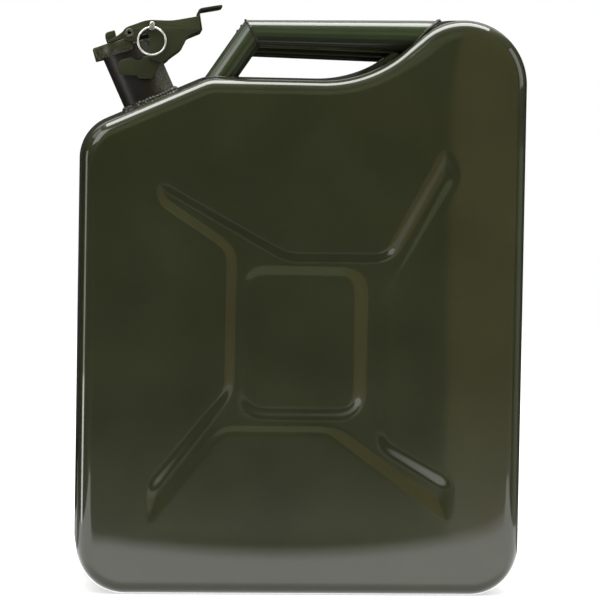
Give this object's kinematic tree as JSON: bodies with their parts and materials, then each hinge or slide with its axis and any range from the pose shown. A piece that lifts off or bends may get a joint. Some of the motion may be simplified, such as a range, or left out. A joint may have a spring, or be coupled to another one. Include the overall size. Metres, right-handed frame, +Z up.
{
  "type": "jerry can",
  "caption": "Pressed-steel liquid can with side seam, stiffening cross, three tube handles, leaning spout and a flip-over lid with locking lever, safety pin and ring.",
  "frame": {"origin": "on the surface the can stands on, under the middle of its bounding box", "axes": "+Z up; +X from the spout towards the hump behind the handles; -Y out of the near pressed face, +Y out of the far one"},
  "size_m": [0.35, 0.165, 0.4617],
  "materials": {
    "body_paint": "glossy dark olive enamel",
    "handle_paint": "semi-gloss olive enamel",
    "neck_paint": "dark brown-olive enamel, slightly rough",
    "bare_steel": "plain steel",
    "bright_steel": "bright plated wire",
    "gasket_rubber": "fuel-proof black rubber"
  },
  "bodies": {
    "can": {"near_shell": "body_paint", "far_shell": "body_paint", "seam_weld": "body_paint", "handle_leg_near": "handle_paint", "handle_leg_centre": "handle_paint", "handle_leg_far": "handle_paint", "handle_grip_near": "handle_paint", "handle_grip_centre": "handle_paint", "handle_grip_far": "handle_paint", "neck_tube": "neck_paint", "mouth_ring": "bare_steel", "neck_base_weld": "body_paint", "air_tube": "bare_steel", "neck_bracket_near": "handle_paint", "neck_bracket_far": "handle_paint", "lid_hinge_pin": "bare_steel"},
    "lid": {"lid_cap": "handle_paint", "lid_gasket": "gasket_rubber", "gasket_retainer": "bare_steel", "lid_rivet": "bare_steel", "lid_saddle": "handle_paint", "lever_pivot_pin": "bare_steel"},
    "lever": {"lever": "handle_paint"},
    "safety_pin": {"safety_pin": "bright_steel"},
    "ring": {"split_ring": "bright_steel"}
  },
  "joints": [
    {"name": "lid_hinge", "type": "hinge", "parent": "can", "child": "lid", "pos_m": [-0.108, 0, 0.421], "axis": [0, 1, 0], "range_deg": [0, 100]},
    {"name": "lever_pivot", "type": "hinge", "parent": "lid", "child": "lever", "pos_m": [-0.137, 0, 0.4366], "axis": [0, -1, 0], "range_deg": [0, 130]},
    {"name": "safety_pin_slide", "type": "slide", "parent": "lever", "child": "safety_pin", "axis": [0, -1, 0], "range_m": [0, 0.06]},
    {"name": "ring_swing", "type": "hinge", "parent": "safety_pin", "child": "ring", "pos_m": [-0.1194, -0.029, 0.4414], "axis": [-1, 0, 0], "range_deg": [0, 100]}
  ],
  "couplings": [
    {"joint": "lever_pivot", "follows": "lid_hinge", "ratio": 1.3}
  ]
}
